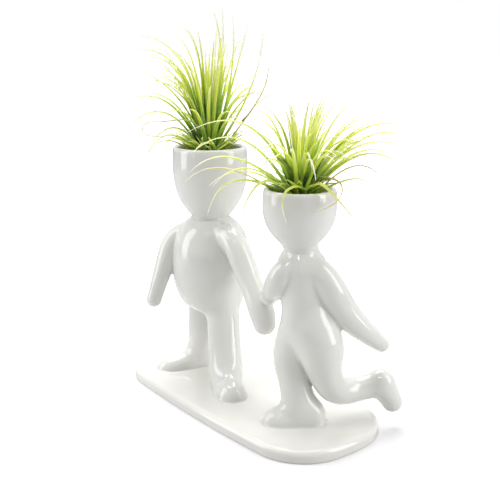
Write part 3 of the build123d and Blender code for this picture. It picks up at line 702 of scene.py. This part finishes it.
# Short plant: wider, with leaves that hang over the rim and one dry curl
shortPlant = {
    "rim": 129.2, "seed": 9,
    # azimuth, root height, arch point and tip, each (reach, height) from the rim's middle
    "leaves": [
        (237, -1, (22, 50), (58, 29)), (227, -3, (29, 42), (57, 17)), (245, -3, (38, 30), (58, 11)),
        (255, -4, (31, 24), (50, 5)), (218, -4, (30, 18), (49, -1)), (235, -5, (40, 18), (48, -14)),
        (265, -5, (26, 20), (36, -14)), (222, 1, (5, 39), (23, 43)), (244, 0, (13, 46), (26, 39)),
        (262, 2, (3, 26), (8, 42)), (320, 2, (2, 30), (3, 46)), (72, 3, (3, 30), (7, 49)),
        (42, 2, (5, 45), (17, 49)), (62, 0, (15, 42), (32, 45)), (33, -1, (17, 38), (37, 41)),
        (73, -1, (26, 44), (46, 32)), (51, -2, (29, 45), (57, 29)), (60, -3, (35, 40), (58, 24)),
        (41, -3, (29, 38), (60, 19)), (48, -4, (36, 36), (58, 4)), (68, -4, (36, 32), (58, 10)),
        (38, -5, (30, 12), (36, 2)), (284, -2, (12, 24), (26, 18)), (335, 0, (8, 30), (18, 30)),
        (352, -3, (16, 26), (32, 18)), (100, 0, (12, 40), (26, 44)), (122, -2, (24, 38), (46, 24)),
        (150, 0, (10, 42), (24, 42)), (172, -3, (22, 26), (36, 10)), (195, -2, (18, 34), (36, 24)),
        (138, -4, (30, 24), (46, 2)), (108, -4, (30, 28), (50, 8)), (22, 1, (7, 36), (18, 43)),
        (52, 1, (8, 38), (21, 47)), (92, 1, (6, 34), (15, 47)), (232, 1, (6, 30), (14, 37)),
        (298, 1, (5, 28), (12, 36)), (344, 1, (6, 32), (14, 41)), (182, 1, (5, 34), (11, 44)),
        (206, 0, (10, 34), (24, 34)), (56, -2, (21, 34), (44, 34)), (27, -2, (20, 30), (43, 27)),
        (84, -2, (20, 34), (41, 30)), (272, -2, (16, 26), (30, 13)),
    ],
    # lesser leaves, drawn by chance within ranges: round the mouth, upright, and arching where there is room
    "fills": [
        {"count": 42, "sector": (0, 360), "root": (-5.5, -4), "archReach": (9, 13), "archHeight": (0, 7),
         "tipReach": (15, 20.5), "tipHeight": (2.5, 8)},
        {"count": 8, "sector": (0, 360), "root": (-1, 2), "archReach": (2, 8), "archHeight": (20, 32),
         "tipReach": (5, 20), "tipHeight": (28, 44)},
        {"count": 20, "sector": (-80, 190), "root": (-3, 0), "archReach": (14, 24), "archHeight": (24, 38),
         "tipReach": (28, 45), "tipHeight": (8, 36)},
    ],
    # leaves that curl over the rim, as knots from its middle
    "curls": [
        [(3, -2, -4), (8.5, -5.5, 1.5), (10.5, -11, 3.5), (11.5, -16, 3.5), (12, -21, 1), (12, -22.5, -3.5),
         (12.5, -22, -8.5), (13, -20.5, -13.5)],
        [(3, -1, -4), (9, -1.5, 1.5), (14, -3, 4), (19, -3.5, 5), (24, -2, 2), (29.5, 3.5, -6.5),
         (34, 8.5, -14)],
    ],
    # dry leaves as the green ones, and dry strands as knots
    "dry": [(24, -7, (28, 22), (40, 10)), (231, -8, (40, 22), (59, 4))],
    "strands": [
        [(4, 2, -3), (7.5, 4.5, 5.5), (14, 8, 6), (19.5, 10, 4), (23, 8, 0.5), (25, 2.5, -3.5),
         (24, -4, -6.5), (20, -10, -8.5)],
    ],
}
# Blades: width and thickness in mm, channel as a share of half the width, sway in mm, twist in radians,
# points along, width at the tip, and the length from which a leaf turns fully yellow
leafForm = {"width": 2.4, "thickness": 0.5, "channel": 0.5, "sway": 2.2, "twist": 0.5, "steps": 30,
            "tip": 0.3, "ripeLength": 46}
curlForm = {"width": 2.3, "thickness": 0.5, "channel": 0.5, "twist": 0.25, "steps": 40, "tip": 0.3,
            "ripeLength": 30}
dryForm = {"width": 1.6, "thickness": 0.4, "channel": 0.7, "sway": 2.5, "twist": 1.6, "steps": 34,
           "tip": 0.4, "ripeLength": 20}
strandForm = {"width": 1.5, "thickness": 0.45, "channel": 0.6, "twist": 0.9, "steps": 60, "tip": 0.5,
              "ripeLength": 20}
# Section of a blade: places across it over the top and back underneath, its edge and where its channel is
# level; then how widths vary, fall to the tip and flare at the foot, the point past the tip in mm, and the
# least ripeness
bladeForm = {
    "over": (-1, -0.6, -0.2, 0.2, 0.6, 1), "under": (0.55, 0, -0.55), "edge": 0.06, "level": 0.4,
    "widths": (0.8, 1.1), "fall": 1.7, "blunt": 0.95, "flare": 0.8, "flareFall": 5, "point": 0.8,
    "leastRipe": 0.4,
}
# Crown: where the leaves spring from, and the lobed sheath of their bases as (radius, height)
crownForm = {
    "radius": 6.5, "depth": 6.0, "taper": 0.25, "sheath": 1.5,
    "profile": [(0.2, -6), (6.1, -6), (6.5, -5.2), (6, -2), (4.8, 2), (3.2, 4), (1.6, 4.8), (0.2, 5)],
    "turns": 30, "lobes": 7, "lobeDepth": 0.06, "lobeTwist": 0.8, "tone": 0.35, "along": 0.15,
}


def leafTable(leaves):
    # azimuth, root, arch reach, arch height, tip reach and tip height in columns
    return np.array([(azimuth, root, *arch, *tip) for azimuth, root, arch, tip in leaves], float)


def fillLeaves(fill, chance):
    # set round the sector by the golden section, with root, arch and tip drawn from their ranges
    azimuth = fill["sector"][0] + np.arange(fill["count"]) * 0.618034 % 1 * fill["sector"][1]
    ranges = np.array([fill[key] for key in ("root", "archReach", "archHeight", "tipReach", "tipHeight")])
    return np.c_[azimuth, chance.uniform(ranges[:, 0], ranges[:, 1], (fill["count"], 5))]


def archLines(base, leaves, form, chance):
    # parabolas from root over arch to tip, each swaying a little to one side
    azimuth = np.radians(leaves[:, :1])
    root, archReach, archHeight, tipReach, tipHeight = leaves[:, 1:].T[..., None]
    start = crownForm["radius"] - (root + crownForm["depth"]) * crownForm["taper"] - crownForm["sheath"]
    t = np.linspace(0, 1, form["steps"])
    left = 1 - t
    reach = left**2 * start + 2 * t * left * archReach + t**2 * tipReach
    height = left**2 * root + 2 * t * left * archHeight + t**2 * tipHeight
    aside = form["sway"] * chance.uniform(-1, 1, (len(leaves), 1)) * t**2 * 2
    out = np.stack([np.cos(azimuth), np.sin(azimuth), 0 * azimuth], -1)
    across = np.stack([-np.sin(azimuth), np.cos(azimuth), 0 * azimuth], -1)
    line = out * reach[..., None] + across * aside[..., None] + np.array([0, 0, 1]) * height[..., None]
    return line + base, across


def strandLines(base, strands, form):
    # smooth lines through the knots, with the blade set across the plane that the strand curls in
    line = np.stack([smoothLine(knots, form["steps"]) for knots in strands])
    step = np.diff(line, axis=1)
    across = np.cross(step[:, :-1], step[:, 1:]).sum(1, keepdims=True)
    return line + base, across / np.linalg.norm(across, axis=2, keepdims=True)


def bladeSurface(line, across, form, chance):
    # a channelled section carried along each line, broad at the sheath, narrowing to the tip and turning on
    # the way; leaves shorter than the ripe length stay greener
    count, steps = line.shape[:2]
    t = np.linspace(0, 1, steps)[None]
    heading = np.gradient(line, axis=1)
    heading /= np.linalg.norm(heading, axis=2, keepdims=True)
    side = across - (across * heading).sum(2, keepdims=True) * heading
    side /= np.linalg.norm(side, axis=2, keepdims=True)
    over = np.cross(heading, side)
    turn = (form["twist"] * chance.uniform(-1, 1, (count, 1)) * t)[..., None]
    side, over = side * np.cos(turn) + over * np.sin(turn), over * np.cos(turn) - side * np.sin(turn)
    wide = form["width"] * chance.uniform(*bladeForm["widths"], (count, 1))
    narrowing = (1 - t ** bladeForm["fall"]) ** bladeForm["blunt"]
    flare = 1 + bladeForm["flare"] * (1 - t) ** bladeForm["flareFall"]
    half = (form["tip"] + (wide - form["tip"]) * narrowing * flare) / 2
    s = np.array(bladeForm["over"] + bladeForm["under"])
    ring = len(s)
    under = np.arange(ring) >= len(bladeForm["over"])
    plump = (1 - s**2) * under * form["thickness"] / (form["width"] / 2)
    rise = form["channel"] * (s**2 - bladeForm["level"]) - plump - bladeForm["edge"] * under
    section = side[:, :, None] * s[:, None] + over[:, :, None] * rise[:, None]
    points = (line[:, :, None] + half[..., None, None] * section).reshape(count, -1, 3)
    tip = line[:, -1] + heading[:, -1] * bladeForm["point"]
    points = np.concatenate([points, np.stack([line[:, 0], tip], 1)], 1)
    offset = (np.arange(count) * points.shape[1])[:, None, None]
    # turned round, because a section that runs over the top from left to right would face inwards
    faces = [(f[None, :, ::-1] + offset).reshape(-1, f.shape[1]) for f in closedFaces(steps, ring)]
    length = np.linalg.norm(np.diff(line, axis=1), axis=2).sum(1)
    age = np.clip(length / form["ripeLength"], bladeForm["leastRipe"], 1)
    along = age[:, None] * np.concatenate([np.repeat(t[0], ring), [0, 1]])
    values = {"leafAlong": along.ravel(), "leafAcross": np.tile(np.r_[np.tile(s, steps), 0, 0], count),
              "leafTone": np.repeat(chance.uniform(0, 1, count), points.shape[1])}
    return points.reshape(-1, 3), faces, values


def crownSurface(base):
    # sheath of the leaf bases: a tapering core with a rounded top and shallow lobes, turned about the axis
    profile = np.array(crownForm["profile"])
    rows, turns, tip = len(profile), crownForm["turns"], crownForm["along"]
    lobes = np.linspace(0, 2 * math.pi, turns, endpoint=False) * crownForm["lobes"]
    wave = np.cos(lobes + profile[:, 1:] * crownForm["lobeTwist"])
    radius = profile[:, :1] * (1 + crownForm["lobeDepth"] * wave)
    points, faces = turnedSurface(radius, profile[:, 1], profile[[0, -1], 1])
    values = {"leafAlong": np.r_[np.repeat(np.linspace(0, tip, rows), turns), 0, tip],
              "leafAcross": np.r_[np.tile(np.sin(lobes), rows), 0, 0],
              "leafTone": np.full(len(points), crownForm["tone"])}
    return points + base, faces, values


def joined(*parts):
    # several surfaces as one, with their faces renumbered
    shifts = np.cumsum([0] + [len(part[0]) for part in parts])
    faces = [f + shift for part, shift in zip(parts, shifts) for f in part[1]]
    values = {key: np.concatenate([part[2][key] for part in parts]) for key in parts[0][2]}
    return np.concatenate([part[0] for part in parts]), faces, values


def addPlant(name, spot, plant):
    # green leaves, curls and crown as one rosette, dry leaves and strands as one piece, on the CAD's own stem
    body = name + "_plant"
    base = spot + [0, 0, plant["rim"]]
    chance = np.random.default_rng(plant["seed"])
    lesser = [fillLeaves(fill, chance) for fill in plant["fills"]]
    green = np.concatenate([leafTable(plant["leaves"])] + lesser)
    blades = bladeSurface(*archLines(base, green, leafForm, chance), leafForm, chance)
    curled = bladeSurface(*strandLines(base, plant["curls"], curlForm), curlForm, chance)
    points, faces, values = joined(blades, curled, crownSurface(base))
    putPiece(name + "LeafRosette", points, faces, greenLeaf, body, "green_leaf", [body + "_leaves"], values)
    withered = bladeSurface(*archLines(base, leafTable(plant["dry"]), dryForm, chance), dryForm, chance)
    wiry = bladeSurface(*strandLines(base, plant["strands"], strandForm), strandForm, chance)
    points, faces, values = joined(withered, wiry)
    putPiece(name + "DryLeaves", points, faces, dryLeaf, body, "dry_leaf", [body + "_dry_leaves"], values)
    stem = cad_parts[body + "_stem"]
    stem.data.materials.clear()
    stem.data.materials.append(stemFibre)


addPlant("tall", tallSpot, tallPlant)
addPlant("short", shortSpot, shortPlant)

# Studio: white sweep that glows towards its edges, with boxes by azimuth, elevation, distance, width, height
# and power
studio = {
    "floor": 16.0, "paper": (0.66, 0.66, 0.67, 1), "lift": (0.30, 0.95), "liftFrom": (0.16, 0.6),
    "ambient": 0.29, "boxAim": (0, 0, 0.1),
    "boxes": [("overhead", 150, 70, 0.95, 0.75, 0.75, 10.2), ("left", 236, 22, 0.8, 0.35, 0.85, 3.0),
              ("right", 30, 25, 0.8, 0.35, 0.85, 3.6), ("nearBulb", 300, 52, 0.9, 0.06, 0.06, 0.3),
              ("leftBulb", 262, 40, 0.9, 0.05, 0.05, 0.2)],
}


def addFloor():
    # a square sheet of paper, lifted towards white for the camera alone, more so away from the plate
    half = studio["floor"] / 2
    corners = [(-half, -half, 0), (half, -half, 0), (half, half, 0), (-half, half, 0)]
    mesh = bpy.data.meshes.new("studioFloor")
    mesh.from_pydata(corners, [], [(0, 1, 2, 3)])
    floor = bpy.data.objects.new("studioFloor", mesh)
    scene.collection.objects.link(floor)
    material, shade = newMaterial("studioPaper")
    seen = shade.node("ShaderNodeLightPath", out="Is Camera Ray")
    place = shade.node("ShaderNodeTexCoord", out="Object")
    away = shade.node("ShaderNodeVectorMath", {"operation": "LENGTH"}, {0: place}, out="Value")
    lift = studio["lift"][0] + away.between(*studio["liftFrom"]) * studio["lift"][1]
    paper = shade.node("ShaderNodeBsdfDiffuse", None, {"Color": studio["paper"]})
    glow = shade.node("ShaderNodeEmission", None, {"Color": (1, 1, 1, 1), "Strength": seen * lift})
    both = shade.node("ShaderNodeAddShader", None, {0: paper, 1: glow})
    shade.node("ShaderNodeOutputMaterial", None, {"Surface": both})
    mesh.materials.append(material)


def addWorld():
    # white where it is seen, mirrored or looked through, and dimmer as light on the pieces
    world = bpy.data.worlds.new("studioAir")
    scene.world = world
    world.use_nodes = True
    world.node_tree.nodes.clear()
    shade = Shade(world.node_tree)
    direct, glossy, through = [shade.node("ShaderNodeLightPath", out=kind)
                               for kind in ("Is Camera Ray", "Is Glossy Ray", "Is Transmission Ray")]
    seen = (direct + glossy + through).between(0, 1)
    strength = studio["ambient"] + seen * (1 - studio["ambient"])
    air = shade.node("ShaderNodeBackground", None, {"Color": (1, 1, 1, 1), "Strength": strength})
    shade.node("ShaderNodeOutputWorld", None, {"Surface": air})


def addBox(name, azimuth, elevation, distance, width, height, power):
    # an area lamp on a sphere about the aim, facing it
    lamp = bpy.data.lights.new(name + "SoftBox", "AREA")
    lamp.shape, lamp.size, lamp.size_y, lamp.energy = "RECTANGLE", width, height, power
    box = bpy.data.objects.new(lamp.name, lamp)
    scene.collection.objects.link(box)
    a, e = math.radians(azimuth), math.radians(elevation)
    away = Vector((math.cos(a) * math.cos(e), math.sin(a) * math.cos(e), math.sin(e)))
    box.location = Vector(studio["boxAim"]) + away * distance
    box.rotation_euler = (-away).to_track_quat("-Z", "Y").to_euler()


addFloor()
addWorld()
for box in studio["boxes"]:
    addBox(*box)
print("studio:", len(studio["boxes"]), "lamps")

# Camera: fitted to the plate's outline, both rims and the feet
view = {"place": (0.3571, -0.2851, 0.211), "aim": (0.0024, 0, 0.0933), "lens": 58.7}
camera = bpy.data.objects.new("camera", bpy.data.cameras.new("camera"))
scene.collection.objects.link(camera)
camera.data.sensor_fit, camera.data.sensor_width, camera.data.lens = "HORIZONTAL", 36, view["lens"]
camera.data.clip_start = 0.01
camera.location = view["place"]
camera.rotation_euler = (Vector(view["aim"]) - Vector(view["place"])).to_track_quat("-Z", "Y").to_euler()
scene.camera = camera
